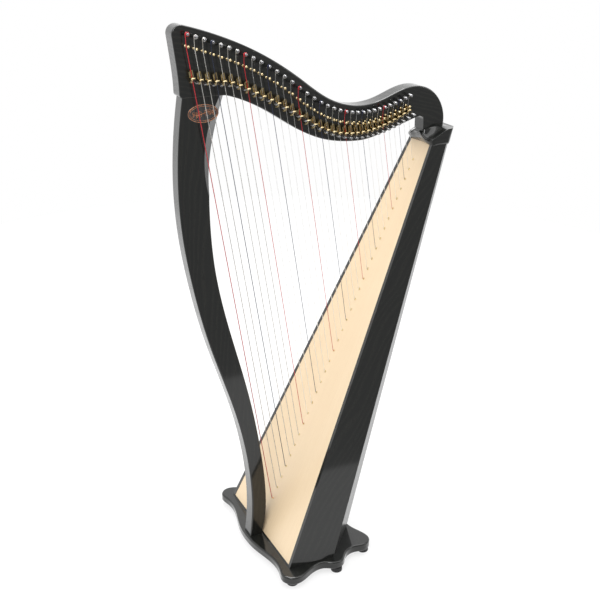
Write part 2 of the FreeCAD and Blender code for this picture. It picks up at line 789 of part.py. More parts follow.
def pivot_pin(k):
    half = CHEEK_OUT + PIVOT_PIN_PROUD
    return placed(across_rod(PIVOT_PIN_RADIUS, half, PIVOT_FROM_FRET, pivot_height(k)), k)


def lever_rest_angle(k):
    return between(LEVER_REST, k / (STRING_COUNT - 1))


def lever(k):
    """Black handle with a cam; it turns on the pivot pin between the cheeks."""
    half = CHEEK_IN - RUNNING_CLEARANCE
    length, thin = LEVER_ARM
    wide, thick = PADDLE_HALF
    centre, back = V(0, 0, 0), V(0, -1, 0)
    hub = across_rod(LEVER_HUB, half, 0, 0)
    arm = box_between((0, -half, -thin), (length, half, thin))
    paddle = box_between((PADDLE_START, -wide, -thick), (LEVER_LENGTH, wide, thick))
    tip = [e for e in paddle.Edges if e.BoundBox.XMin > LEVER_LENGTH - 0.1]
    handle = fuse([hub, arm, paddle.makeFillet(PADDLE_ROUND, tip)])
    handle.rotate(centre, back, lever_rest_angle(k))
    cam = across_rod(CAM_RADIUS, half, CAM_THROW, 0)
    cam.rotate(centre, back, -90 - LEVER_SWING)
    axle = across_rod(PIVOT_PIN_RADIUS + RUNNING_CLEARANCE, CHEEK_OUT, 0, 0)
    body = fuse([handle, cam]).cut(axle)
    body.translate(V(PIVOT_FROM_FRET, 0, pivot_height(k)))
    return placed(body, k)


# -------------------------------------------------------------------- parts
def save_all():
    every = range(STRING_COUNT)
    side, bevel = wall(side_outline), wall(bevel_outline)
    save(neck(), "neck")
    save(pillar(), "pillar")
    save(badge(), "badge")
    save(group(dowels()), "neck_dowels")
    save(shoulder_cap(), "shoulder_cap")
    save(mirrored(side), "side_panel_left")
    save(side, "side_panel_right")
    save(mirrored(bevel), "bevel_panel_left")
    save(bevel, "bevel_panel_right")
    save(back_panel(), "back_panel")
    save(soundboard(), "soundboard")
    save(board_bindings(), "board_bindings")
    save(string_rib(), "string_rib")
    save(end_blocks().cut(group([screw_hole(x, y) for x, y in BASE_SCREWS])), "end_blocks")
    save(box_framing(), "box_framing")
    save(base_plate(), "base_plate")
    save(base_feet(), "base_feet")
    save(base_screws(), "base_screws")
    save(group([tuning_pin(k) for k in every]), "tuning_pins")
    save(group([bridge_pin(k) for k in every]), "bridge_pins")
    save(group([eyelet(k) for k in every]), "string_eyelets")
    save(group([string(k) for k in WOUND_STRINGS]), "strings_wound")
    save(group([string(k) for k in PLAIN_STRINGS]), "strings_plain")
    save(group([lever_bracket(k) for k in every]), "lever_brackets")
    save(group([pivot_pin(k) for k in every]), "lever_pivot_pins")
    save(group([lever_screw(k, x) for k in every for x in LEVER_SCREWS_AT]), "lever_screws")
    for k in every:
        save(lever(k), "lever_%02d" % (k + 1))


save_all()
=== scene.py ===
import json
import math

import bmesh
import bpy
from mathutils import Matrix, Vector


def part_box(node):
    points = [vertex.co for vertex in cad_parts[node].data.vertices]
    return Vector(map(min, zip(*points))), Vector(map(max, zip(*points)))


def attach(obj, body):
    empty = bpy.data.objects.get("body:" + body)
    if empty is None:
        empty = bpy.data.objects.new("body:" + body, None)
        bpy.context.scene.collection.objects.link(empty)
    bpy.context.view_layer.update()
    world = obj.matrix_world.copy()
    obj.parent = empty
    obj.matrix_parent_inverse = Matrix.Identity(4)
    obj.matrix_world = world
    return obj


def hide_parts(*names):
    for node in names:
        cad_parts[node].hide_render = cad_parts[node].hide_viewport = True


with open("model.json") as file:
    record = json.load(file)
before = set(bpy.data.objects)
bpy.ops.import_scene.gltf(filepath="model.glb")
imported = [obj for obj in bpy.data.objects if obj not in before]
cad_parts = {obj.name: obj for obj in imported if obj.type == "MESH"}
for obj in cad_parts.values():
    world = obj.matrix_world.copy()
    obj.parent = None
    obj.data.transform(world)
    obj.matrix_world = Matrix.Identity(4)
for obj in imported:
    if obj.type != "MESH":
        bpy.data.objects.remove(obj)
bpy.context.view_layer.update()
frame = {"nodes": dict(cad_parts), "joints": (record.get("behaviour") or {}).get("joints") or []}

# Lever harp.  Metres, +Z up, pillar at -X, strings and levers on the -Y side.

# Soundbox.  The strings leave the soundboard through eyelets, with a rib behind it.
BOARD_LEAN = math.radians(24.0)
BOARD_OUT = Vector((-math.cos(BOARD_LEAN), 0, math.sin(BOARD_LEAN)))
BOARD_THICK = 0.004
RIB_THICK = 0.006
EYELET_TOP = 0.0022
KNOT_GAP = 0.0005

# Pins on the neck.  A standoff is how far a string runs from the neck's face.
NECK_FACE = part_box("neck")[0].y
BRIDGE_STANDOFF = 0.013
BRIDGE_PIN_RADIUS = 0.0016
BRIDGE_HEAD_RADIUS = 0.0031
BRIDGE_HEAD_GAP = 0.002
COIL_STANDOFF = 0.014
COIL_TURNS = 3
TUNING_PIN_RADIUS = 0.003
TUNING_SHOULDER = 0.004
TUNING_SQUARE = 0.005

# Strings.  An ease is how far from a bend its curve starts or ends.
WOUND_STRINGS = 7
THICKEST_STRING = 0.00095
STRING_TAPER = 0.00055
BEND_EASE = 0.0012
EYELET_EASE = (0.001, 0.003)
COIL_EASE = 0.002
KNOT_WIDTH, KNOT_HEIGHT, KNOT_DEPTH = 0.0017, 0.0012, 0.0008
RUNNING_CLEARANCE = 0.00005

# Levers.  Degrees between handle and string, for the first and the last lever.
LEVER_REST = (78.0, 74.0)
LEVER_SWING = 55.0
CAM_THROW = 0.0015
CHEEK_IN = 0.0033


# ------------------------------------------------------------- reading the frame
def loose_parts(node):
    """Vertex positions of each separate solid of a CAD node, in order along X."""
    work = bmesh.new()
    work.from_mesh(frame["nodes"][node].data)
    bmesh.ops.remove_doubles(work, verts=work.verts, dist=1e-6)
    work.verts.ensure_lookup_table()
    seen, parts = set(), []
    for start in work.verts:
        if start in seen:
            continue
        seen.add(start)
        queue, part = [start], []
        while queue:
            vertex = queue.pop()
            part.append(vertex.co.copy())
            for edge in vertex.link_edges:
                other = edge.other_vert(vertex)
                if other not in seen:
                    seen.add(other)
                    queue.append(other)
        parts.append(part)
    work.free()
    return sorted(parts, key=lambda part: min(p.x for p in part))


def middle(points):
    """Centre of the box round some points."""
    low = Vector([min(p[i] for p in points) for i in range(3)])
    high = Vector([max(p[i] for p in points) for i in range(3)])
    return (low + high) / 2


def between(pair, share):
    """The value a share of the way from the first of a pair to the second."""
    return pair[0] + (pair[1] - pair[0]) * share


def smooth(low, high, value):
    """0 below low, 1 above high, and an S curve between them."""
    t = min(1.0, max(0.0, (value - low) / (high - low)))
    return t * t * (3 - 2 * t)


BRIDGE_PINS = [middle(part) for part in loose_parts("bridge_pins")]
TUNING_PINS = [middle(part) for part in loose_parts("tuning_pins")]
EYELETS = [sum(part, Vector()) / len(part) for part in loose_parts("string_eyelets")]
BOARD_FACE = max(BOARD_OUT.dot(v.co) for v in frame["nodes"]["soundboard"].data.vertices)
JOINTS = frame["joints"]
STRING_COUNT = len(JOINTS)
LAST = STRING_COUNT - 1


def string_radius(k):
    """Half the thickness of string k, counted from the bass."""
    return THICKEST_STRING - STRING_TAPER * (k / LAST) ** 0.6


# ------------------------------------------------------------------- mesh making
def piece(name, work, materials, body="frame"):
    """Turns a bmesh into an object that rides on a body."""
    mesh = bpy.data.meshes.new(name)
    bmesh.ops.recalc_face_normals(work, faces=work.faces)
    work.to_mesh(mesh)
    work.free()
    item = bpy.data.objects.new(name, mesh)
    bpy.context.scene.collection.objects.link(item)
    for material in materials:
        mesh.materials.append(material)
    if body:
        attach(item, body)
    return item


def ring(work, centre, side, up, points):
    """Adds vertices at centre + a * side + b * up for each (a, b)."""
    return [work.verts.new(centre + side * a + up * b) for a, b in points]


def skin(work, rings, material=0, close=True):
    """Joins rings of vertices into a smooth tube, and closes its ends."""
    count = len(rings[0])
    faces = []
    for first, second in zip(rings, rings[1:]):
        for i in range(count):
            j = (i + 1) % count
            faces.append(work.faces.new((first[i], first[j], second[j], second[i])))
    if close:
        faces.append(work.faces.new(rings[0][::-1]))
        faces.append(work.faces.new(rings[-1]))
    for face in faces:
        face.material_index = material
        face.smooth = True


def circle(radius, sides):
    turn = 2 * math.pi / sides
    return [(radius * math.cos(i * turn), radius * math.sin(i * turn)) for i in range(sides)]


def crosswise(direction):
    """Two directions square to this one."""
    helper = Vector((0, 0, 1)) if abs(direction.z) < 0.9 else Vector((1, 0, 0))
    side = direction.cross(helper).normalized()
    return side, side.cross(direction).normalized()


def turned(work, base, axis, profile, sides=20, material=0):
    """Lathe-turned solid: profile lists (distance along the axis, radius)."""
    side, up = crosswise(axis)
    rings = [ring(work, base + axis * along, side, up, circle(radius, sides))
             for along, radius in profile]
    skin(work, rings, material)


def tube(work, path, radius, sides=8, material=0):
    """Round tube along a path, carried round its bends without twisting."""
    direction = (path[1] - path[0]).normalized()
    side = crosswise(direction)[0]
    rings = []
    for i, point in enumerate(path):
        ahead = path[min(i + 1, len(path) - 1)]
        behind = path[max(i - 1, 0)]
        direction = (ahead - behind).normalized()
        side = (side - direction * side.dot(direction)).normalized()
        up = side.cross(direction)
        rings.append(ring(work, point, side, up, circle(radius, sides)))
    skin(work, rings, material)


def rounded(half_width, half_height, power=3.0, sides=20):
    """Section with soft corners, from a superellipse."""
    points = []
    for i in range(sides):
        angle = 2 * math.pi * (i + 0.5) / sides
        c, s = math.cos(angle), math.sin(angle)
        points.append((half_width * math.copysign(abs(c) ** (2 / power), c),
                       half_height * math.copysign(abs(s) ** (2 / power), s)))
    return points


# --------------------------------------------------------------------- materials
NOISE_ROUGHNESS = 0.55
SPECKS = 900.0  # handling marks per metre of metal
WINDING = 9000.0  # the winding's wire, as radians of a wave per metre


class Shader:
    """A new material, its Principled shader, and short ways to wire nodes."""

    def __init__(self, name, **inputs):
        self.material = bpy.data.materials.new(name)
        self.material.use_nodes = True
        self.tree = self.material.node_tree
        self.surface = self.tree.nodes["Principled BSDF"]
        for key, value in inputs.items():
            self.feed(self.surface, key.replace("_", " "), value)

    def feed(self, node, socket, value):
        """Gives a socket a number, a colour, or another node's output."""
        target = node.inputs[socket]
        if isinstance(value, bpy.types.NodeSocket):
            self.tree.links.new(value, target)
        elif isinstance(value, tuple) and len(value) == 3 and target.type == "RGBA":
            target.default_value = (*value, 1.0)
        else:
            target.default_value = value

    def add(self, kind, output=0, inputs=None, **settings):
        node = self.tree.nodes.new(kind)
        for key, value in settings.items():
            setattr(node, key, value)
        for socket, value in (inputs or {}).items():
            self.feed(node, socket, value)
        return node.outputs[output]

    def place(self):
        return self.add("ShaderNodeTexCoord", "Object")

    def dot(self, vector, direction):
        return self.add("ShaderNodeVectorMath", "Value", {0: vector, 1: tuple(direction)},
                        operation="DOT_PRODUCT")

    def along(self, direction, stretch, across):
        """Coordinates with X along a direction, each scaled to features per metre."""
        here = self.place()
        side, up = crosswise(Vector(direction).normalized())
        parts = [self.math("MULTIPLY", self.dot(here, axis), scale)
                 for axis, scale in ((Vector(direction).normalized(), stretch),
                                     (side, across), (up, across))]
        return self.add("ShaderNodeCombineXYZ", 0, dict(enumerate(parts)))

    def math(self, operation, first, second=0.0):
        return self.add("ShaderNodeMath", 0, {0: first, 1: second}, operation=operation)

    def noise(self, vector, scale, detail):
        return self.add("ShaderNodeTexNoise", "Fac",
                        {"Vector": vector, "Scale": scale, "Detail": detail,
                         "Roughness": NOISE_ROUGHNESS})

    def ramp(self, value, stops):
        """Colour ramp from (place, colour) stops; a number is a grey."""
        node = self.tree.nodes.new("ShaderNodeValToRGB")
        self.feed(node, "Fac", value)
        points = node.color_ramp.elements
        while len(points) < len(stops):
            points.new(0.5)
        for point, (at, colour) in zip(points, stops):
            point.position = at
            grey = colour if isinstance(colour, tuple) else (colour,) * 3
            point.color = (*grey, 1.0)
        return node.outputs["Color"]

    def mix(self, share, first, second):
        node = self.tree.nodes.new("ShaderNodeMix")
        node.data_type = "RGBA"
        sockets = [node.inputs[0], node.inputs[6], node.inputs[7]]
        for target, value in zip(sockets, (share, first, second)):
            if isinstance(value, bpy.types.NodeSocket):
                self.tree.links.new(value, target)
            else:
                target.default_value = (*value, 1.0) if isinstance(value, tuple) else value
        return node.outputs[2]

    def bump(self, height, strength, distance):
        normal = self.add("ShaderNodeBump", 0,
                          {"Height": height, "Strength": strength, "Distance": distance})
        self.feed(self.surface, "Normal", normal)
        return self.material


STAIN_DARK = (0.0055, 0.0062, 0.0060)
STAIN_LIGHT = (0.0115, 0.0125, 0.0112)
EARLY_WOOD = (0.022, 0.0225, 0.0185)
OPEN_PORE = (0.003, 0.003, 0.003)
FLOOR_GLOW = 0.76
BIRCH_PALE = (0.86, 0.70, 0.49)
BIRCH_WARM = (0.78, 0.60, 0.38)
BIRCH_GRAIN = (0.68, 0.49, 0.29)
BIRCH_FLECK = (0.54, 0.36, 0.19)
MAPLE_PALE = (0.62, 0.43, 0.24)
MAPLE_GRAIN = (0.46, 0.29, 0.15)
MAPLE_DARK = (0.40, 0.24, 0.12)


def black_ash(name, grain, heartwood, figure, gloss=1.0):
    """Open-pored ash under black stain and lacquer, with its grain along a direction.

    heartwood is the number of growth rings per metre, and figure how plainly they show.
    """
    s = Shader(name, Specular_IOR_Level=0.12, Coat_Weight=0.95 * gloss,
               Coat_Roughness=0.07 + 0.25 * (1.0 - gloss), Coat_IOR=1.5)
    wander = s.noise(s.along(grain, 2.5, 9.0), 1.0, 2.0)
    here = s.place()
    side = crosswise(Vector(grain).normalized())[1]
    depth = s.math("MULTIPLY", s.dot(here, side), heartwood)
    rings = s.math("ADD", depth, s.math("MULTIPLY", wander, 7.0))
    wave = s.math("SINE", s.math("MULTIPLY", rings, 2 * math.pi))
    early = s.ramp(s.math("MULTIPLY", s.math("ADD", wave, 1.0), 0.5), [(0.45, 0.0), (0.95, 1.0)])
    pores = s.ramp(s.noise(s.along(grain, 55.0, 1500.0), 1.0, 2.0), [(0.50, 0.0), (0.62, 1.0)])
    fibres = s.noise(s.along(grain, 12.0, 420.0), 1.0, 4.0)
    open_grain = s.math("MULTIPLY", early, pores)
    stain = s.mix(fibres, STAIN_DARK, STAIN_LIGHT)
    colour = s.mix(s.math("MULTIPLY", early, figure), stain, EARLY_WOOD)
    filled = s.mix(s.math("MULTIPLY", open_grain, 0.8), colour, OPEN_PORE)
    s.feed(s.surface, "Base Color", filled)
    s.feed(s.surface, "Roughness", s.math("ADD", s.math("MULTIPLY", early, 0.2 * figure), 0.28))
    relief = s.math("SUBTRACT", s.math("MULTIPLY", fibres, 0.25), open_grain)
    s.bump(relief, 0.3, 0.00010)
    return s.material


def birch():
    """Pale soundboard veneer with fine grain up the board and clear satin varnish."""
    up = (math.sin(BOARD_LEAN), 0, math.cos(BOARD_LEAN))
    s = Shader("birch_veneer", Roughness=0.42, Coat_Weight=0.25, Coat_Roughness=0.25)
    broad = s.noise(s.along(up, 1.6, 16.0), 1.0, 3.0)
    fine = s.noise(s.along(up, 9.0, 420.0), 1.0, 4.0)
    flecks = s.ramp(s.noise(s.along(up, 70.0, 900.0), 1.0, 2.0), [(0.60, 0.0), (0.72, 1.0)])
    pale = s.mix(broad, BIRCH_PALE, BIRCH_WARM)
    toned = s.mix(s.math("MULTIPLY", fine, 0.45), pale, BIRCH_GRAIN)
    flecked = s.mix(s.math("MULTIPLY", flecks, 0.22), toned, BIRCH_FLECK)
    s.feed(s.surface, "Base Color", flecked)
    s.bump(s.math("ADD", fine, flecks), 0.12, 0.0001)
    return s.material


def inner_wood():
    """Raw maple of the blocks, linings, rib and braces."""
    s = Shader("raw_maple", Roughness=0.7)
    grain = s.noise(s.along((0, 0, 1), 14.0, 260.0), 1.0, 4.0)
    broad = s.noise(s.place(), 18.0, 2.0)
    colour = s.mix(grain, MAPLE_PALE, MAPLE_GRAIN)
    toned = s.mix(s.math("MULTIPLY", broad, 0.4), colour, MAPLE_DARK)
    s.feed(s.surface, "Base Color", toned)
    s.bump(grain, 0.25, 0.0002)
    return s.material


def wound(s, strength):
    """Ridges of fine wire wound round a string."""
    ridges = s.math("SINE", s.math("MULTIPLY", s.dot(s.place(), (0, 0, 1)), WINDING))
    return s.bump(ridges, strength, 0.0001)


def metal(name, bright, dull, roughness, winding=False):
    """Metal with small changes of tone, handling marks and uneven polish."""
    s = Shader(name, Metallic=1.0)
    patches = s.noise(s.place(), SPECKS / 8, 3.0)
    marks = s.noise(s.place(), SPECKS, 2.0)
    worn = s.ramp(patches, [(0.35, 0.0), (0.7, 1.0)])
    s.feed(s.surface, "Base Color", s.mix(worn, bright, dull))
    uneven = s.math("ADD", s.math("MULTIPLY", marks, roughness), roughness * 0.5)
    s.feed(s.surface, "Roughness", uneven)
    return wound(s, 0.6) if winding else s.bump(marks, 0.08, 0.0001)


def gut(name, colour, shade, clear=0.0, winding=False):
    """Nylon string, or a coloured winding, with slight changes of tone along it."""
    s = Shader(name, Roughness=0.28, Transmission_Weight=clear, IOR=1.53)
    tone = s.noise(s.place(), 90.0, 2.0)
    s.feed(s.surface, "Base Color", s.mix(tone, colour, shade))
    return wound(s, 0.5) if winding else s.bump(tone, 0.05, 0.0001)


def moulded_black(name, roughness):
    """Moulded black plastic or rubber with a faint skin texture."""
    s = Shader(name, Coat_Weight=1.0 if roughness < 0.3 else 0.0, Coat_Roughness=0.04,
               Coat_IOR=1.85)
    skin_texture = s.noise(s.place(), 1400.0, 2.0)
    cloud = s.noise(s.place(), 160.0, 2.0)
    s.feed(s.surface, "Base Color", s.mix(cloud, (0.006, 0.006, 0.0065), (0.013, 0.013, 0.0135)))
    s.feed(s.surface, "Roughness", s.math("ADD", s.math("MULTIPLY", cloud, 0.1), roughness))
    return s.bump(skin_texture, 0.05, 0.00008)


def studio_floor():
    """Pale paper that gives most of its own light, so that it stays even behind the harp."""
    s = Shader("pale_floor", Roughness=0.9)
    s.feed(s.surface, "Specular IOR Level", 0.1)
    tone = s.noise(s.place(), 1.5, 2.0)
    s.feed(s.surface, "Base Color", s.mix(tone, (0.24, 0.24, 0.24), (0.26, 0.26, 0.26)))
    s.feed(s.surface, "Emission Color", s.mix(tone, (1.0, 1.0, 1.0), (0.99, 0.99, 0.99)))
    s.feed(s.surface, "Emission Strength", FLOOR_GLOW)
    return s.material


# Each part's grain direction, growth rings per metre and how plainly the figure shows.
UP_THE_BOX = (0.60, 0, 0.80)
NECK_GRAIN = (0.97, 0, -0.24)

LACQUER = {
    "neck": black_ash("ash_neck", NECK_GRAIN, 95.0, 0.5),
    "pillar": black_ash("ash_pillar", (0.06, 0, 1.0), 80.0, 0.35),
    "side": black_ash("ash_side_panels", UP_THE_BOX, 70.0, 0.35),
    "back": black_ash("ash_back_panels", UP_THE_BOX, 75.0, 0.35, 0.45),
    "plate": black_ash("ash_base_plate", (0.05, 1.0, 0), 90.0, 0.4),
    "cap": black_ash("ash_cap", (1.0, 0, 0.02), 110.0, 0.3),
}
BIRCH = birch()
MAPLE = inner_wood()
BRASS = metal("polished_brass", (0.88, 0.74, 0.46), (0.72, 0.56, 0.30), 0.20)
# Darker copy of the polished brass for the lever brackets: painted shade, standing in for the dim
# light on their channel walls.
SHADED_BRASS = metal("shaded_brass", (0.66, 0.53, 0.29), (0.28, 0.21, 0.10), 0.20)
NICKEL = metal("dark_nickel_plate", (0.40, 0.40, 0.41), (0.24, 0.24, 0.25), 0.20)
ZINC = metal("zinc_plate", (0.58, 0.58, 0.60), (0.42, 0.42, 0.44), 0.40)
COPPER = metal("copper_inlay", (0.80, 0.36, 0.18), (0.62, 0.24, 0.11), 0.28)
ENAMEL = moulded_black("black_enamel", 0.18)
HANDLE = moulded_black("handle_plastic", 0.12)
RUBBER = moulded_black("foot_rubber", 0.55)
SILVER_WOUND = metal("silver_winding", (0.72, 0.71, 0.68), (0.50, 0.49, 0.47), 0.30, winding=True)
RED_WOUND = gut("red_winding", (0.62, 0.02, 0.03), (0.45, 0.01, 0.02), winding=True)
BLUE_WOUND = gut("blue_winding", (0.02, 0.03, 0.07), (0.01, 0.015, 0.04), winding=True)
RED_NYLON = gut("red_nylon", (0.60, 0.02, 0.03), (0.48, 0.01, 0.02))
BLUE_NYLON = gut("blue_nylon", (0.025, 0.03, 0.09), (0.015, 0.018, 0.05))
CLEAR_NYLON = gut("clear_nylon", (0.95, 0.95, 0.93), (0.88, 0.88, 0.86), 0.85)

CAD_FINISH = {
    "neck": LACQUER["neck"], "pillar": LACQUER["pillar"],
    "side_panel_left": LACQUER["side"], "side_panel_right": LACQUER["side"],
    "bevel_panel_left": LACQUER["back"], "bevel_panel_right": LACQUER["back"],
    "back_panel": LACQUER["back"], "board_bindings": LACQUER["side"],
    "base_plate": LACQUER["plate"], "soundboard": BIRCH,
    "string_rib": MAPLE, "end_blocks": MAPLE, "box_framing": MAPLE, "neck_dowels": MAPLE,
    "base_screws": ZINC, "base_feet": RUBBER, "string_eyelets": BRASS,
    "lever_brackets": SHADED_BRASS, "lever_pivot_pins": BRASS, "lever_screws": BRASS,
}


# Width of the eased edges of the small metal parts.
EASED = {"lever_brackets": 0.0003, "lever_screws": 0.0002, "string_eyelets": 0.0002}


def finish_cad_nodes():
    for name, material in CAD_FINISH.items():
        node = frame["nodes"][name]
        node.data.materials.clear()
        node.data.materials.append(material)
    for name, width in EASED.items():
        ease = frame["nodes"][name].modifiers.new("eased_edges", "BEVEL")
        ease.width = width
        ease.segments = 2
        ease.limit_method = "ANGLE"
        ease.angle_limit = math.radians(50)


# ----------------------------------------------------------------------- strings
def string_path(k):
    """Centre line of a string from its knot in the box to the end of its coil."""
    radius = string_radius(k)
    surface = EYELETS[k] + BOARD_OUT * (BOARD_FACE - BOARD_OUT.dot(EYELETS[k]))
    knot = surface - BOARD_OUT * (BOARD_THICK + RIB_THICK + KNOT_GAP)
    leave = surface + BOARD_OUT * (EYELET_TOP + radius)
    pin, wrest = BRIDGE_PINS[k], TUNING_PINS[k]
    lean = math.atan2(surface.x - pin.x, pin.z - surface.z)
    beside = (BRIDGE_PIN_RADIUS + radius + RUNNING_CLEARANCE) / math.cos(lean)
    contact = Vector((pin.x - beside, NECK_FACE - BRIDGE_STANDOFF, pin.z))
    wind = TUNING_PIN_RADIUS + radius + RUNNING_CLEARANCE
    start = Vector((wrest.x - wind, NECK_FACE - COIL_STANDOFF, wrest.z))
    points = [knot, surface - BOARD_OUT * EYELET_EASE[0], leave]
    towards = (contact - leave).normalized()
    points.append(leave + towards * EYELET_EASE[1])
    away = (start - contact).normalized()
    points += [contact - towards * BEND_EASE, contact, contact + away * BEND_EASE]
    points.append(start - away * COIL_EASE)
    sides = 12
    steps = COIL_TURNS * sides
    for i in range(steps + 1):
        angle = math.pi - 2 * math.pi * i / sides
        lay = (i / steps - 0.5) * 2 * radius * COIL_TURNS
        points.append(Vector((wrest.x + wind * math.cos(angle), start.y + lay,
                              wrest.z + wind * math.sin(angle))))
    return points


def string_material(k):
    """Every C is red and every F dark blue, counted from the lowest C."""
    note = k % 7
    is_wound = k < WOUND_STRINGS
    if note == 0:
        return RED_WOUND if is_wound else RED_NYLON
    if note == 3:
        return BLUE_WOUND if is_wound else BLUE_NYLON
    return SILVER_WOUND if is_wound else CLEAR_NYLON


def knot(work, centre, radius):
    """Small figure-of-eight lump that stops a string behind the rib."""
    across, up = crosswise(BOARD_OUT)
    path = []
    for i in range(17):
        angle = 2 * math.pi * i / 16
        a, b = KNOT_WIDTH * math.sin(angle), KNOT_HEIGHT * math.sin(2 * angle)
        behind = KNOT_DEPTH * math.cos(angle) + 0.001
        path.append(centre + across * a + up * b - BOARD_OUT * behind)
    tube(work, path, radius, 6)


def strings():
    groups = {}
    for k in range(STRING_COUNT):
        groups.setdefault(string_material(k).name, []).append(k)
    for name, members in groups.items():
        work = bmesh.new()
        for k in members:
            path = string_path(k)
            tube(work, path, string_radius(k), 8)
            knot(work, path[0], string_radius(k))
        is_wound = members[0] < WOUND_STRINGS
        item = piece("strings_" + name, work, [bpy.data.materials[name]])
        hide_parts("strings_wound" if is_wound else "strings_plain")


# -------------------------------------------------------------------------- pins
# Profiles list (distance along the pin, radius).
BRIDGE_FOOT = [(-0.012, 0.0016), (0, 0.0016), (0, 0.0026), (0.0009, 0.0026), (0.0013, 0.0023),
               (0.0015, 0.0016)]
BRIDGE_GROOVE = [(-0.0016, 0.0015), (-0.0012, 0.0019), (-0.0008, 0.0019), (-0.0004, 0.0015),
                 (0.0008, 0.0015)]
TUNING_DOME = [(0, 0.0011), (0.00015, 0.0016), (0.0004, 0.0022), (0.0008, 0.0027)]


def bridge_pins():
    """Slim brass pins with a collar, a groove for the string and a ball head."""
    work = bmesh.new()
    outward = Vector((0, -1, 0))
    for k in range(STRING_COUNT):
        pin = BRIDGE_PINS[k]
        base = Vector((pin.x, NECK_FACE, pin.z))
        ball = BRIDGE_STANDOFF + string_radius(k) + BRIDGE_HEAD_RADIUS + BRIDGE_HEAD_GAP
        profile = BRIDGE_FOOT + [(BRIDGE_STANDOFF + at, radius) for at, radius in BRIDGE_GROOVE]
        for i in range(9):
            angle = math.pi * (0.17 + 0.82 * i / 8)
            profile.append((ball - BRIDGE_HEAD_RADIUS * math.cos(angle),
                            BRIDGE_HEAD_RADIUS * math.sin(angle)))
        turned(work, base, outward, profile, 16)
    item = piece("bridge_pins_turned", work, [BRASS])
    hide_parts("bridge_pins")


def tuning_pins():
    """Plated pins, round with a domed end by the strings and squared for the key behind."""
    work = bmesh.new()
    low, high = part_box("tuning_pins")
    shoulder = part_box("neck")[1].y + TUNING_SHOULDER
    side, up, back = Vector((1, 0, 0)), Vector((0, 0, 1)), Vector((0, 1, 0))
    length = shoulder - low.y
    r, half = TUNING_PIN_RADIUS, TUNING_SQUARE / 2
    profile = TUNING_DOME + [(0.0014, r), (length - 0.0005, r), (length, r - 0.0005)]
    square = high.y - shoulder
    key = [(0.0, half), (square - 0.0009, half), (square - 0.0003, half - 0.0004),
           (square, half - 0.0010)]
    for k in range(STRING_COUNT):
        pin = TUNING_PINS[k]
        turned(work, Vector((pin.x, low.y, pin.z)), back, profile, 24)
        rings = []
        for at, wide in key:
            centre = Vector((pin.x, shoulder + at, pin.z))
            rings.append(ring(work, centre, side, up, rounded(wide, wide, 9.0, 24)))
        skin(work, rings)
    item = piece("tuning_pins_turned", work, [NICKEL])
    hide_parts("tuning_pins")


# ------------------------------------------------------------------------ levers
def lever_axes(k):
    """Pivot of lever k and its directions: down the string, across, and out."""
    joint = JOINTS[k]
    across = -Vector(joint["axis"]).normalized()
    out = Vector((0, -1, 0))
    return Vector(joint["pos_m"]), across.cross(out).normalized(), across, out


# Sections of a handle: distance from the pivot, half width, half thickness.
HANDLE_SECTIONS = [
    (0.0020, 0.0027, 0.0021), (0.0042, 0.0027, 0.0018), (0.0060, 0.0033, 0.0018),
    (0.0090, 0.0038, 0.0019), (0.0150, 0.0039, 0.0019), (0.0215, 0.0038, 0.0018),
    (0.0250, 0.0034, 0.0015), (0.0264, 0.0026, 0.0011), (0.0270, 0.0014, 0.0005)]
HUB_HALF = CHEEK_IN - RUNNING_CLEARANCE
HUB = [(-HUB_HALF, 0.00105), (-HUB_HALF, 0.0027), (-HUB_HALF + 0.0003, 0.0029),
       (HUB_HALF - 0.0003, 0.0029), (HUB_HALF, 0.0027), (HUB_HALF, 0.00105)]
CAM = [(-HUB_HALF + 0.0004, 0.0020), (-HUB_HALF + 0.0006, 0.0023),
       (HUB_HALF - 0.0006, 0.0023), (HUB_HALF - 0.0004, 0.0020)]


def lever(k):
    """Glossy handle with a thumb paddle, on a brass hub and cam."""
    pivot, down, across, out = lever_axes(k)
    rest = math.radians(between(LEVER_REST, k / LAST))
    along = down * math.cos(rest) + out * math.sin(rest)
    over = out * math.cos(rest) - down * math.sin(rest)
    work = bmesh.new()
    rings = [ring(work, pivot + along * at, across, over, rounded(wide, thick))
             for at, wide, thick in HANDLE_SECTIONS]
    skin(work, rings, 0)
    turned(work, pivot, across, HUB, 20, 1)
    cam_turn = math.radians(-90 - LEVER_SWING)
    lobe = down * math.cos(cam_turn) + out * math.sin(cam_turn)
    turned(work, pivot + lobe * CAM_THROW, across, CAM, 18, 1)
    name = "lever_%02d" % (k + 1)
    item = piece("handle_%02d" % (k + 1), work, [HANDLE, BRASS], name)
    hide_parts(name)


# ------------------------------------------------------------------- shoulder cap
# Outlines seen from above, as (x, y) on one side of the harp, from pillar to back.
CAP_LOW, CAP_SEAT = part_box("shoulder_cap")[0].z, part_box("shoulder_cap")[1].z
CAP_CENTRE = (0.305, 0.0)
CAP_BOTTOM = [(0.2789, 0.0535), (0.2815, 0.0557), (0.3239, 0.0557), (0.3439, 0.031)]
CAP_TOP = [(0.2665, 0.030), (0.270, 0.046), (0.280, 0.0565), (0.3329, 0.0577), (0.3498, 0.034)]
STEM = [(0.2750, 0.0205), (0.3240, 0.0205)]
RIM_LOW = 0.012
RIM_REAR_RISE = 0.024
RIM_ARCH = 0.017
CAP_LIP = 0.0027
CAP_NOSE = 0.006
CAP_EDGE = 0.0012
COVE_RISE = 0.006
COVE_DIP = 0.0022


def mirrored_outline(half):
    return half + [(x, -y) for x, y in reversed(half)]


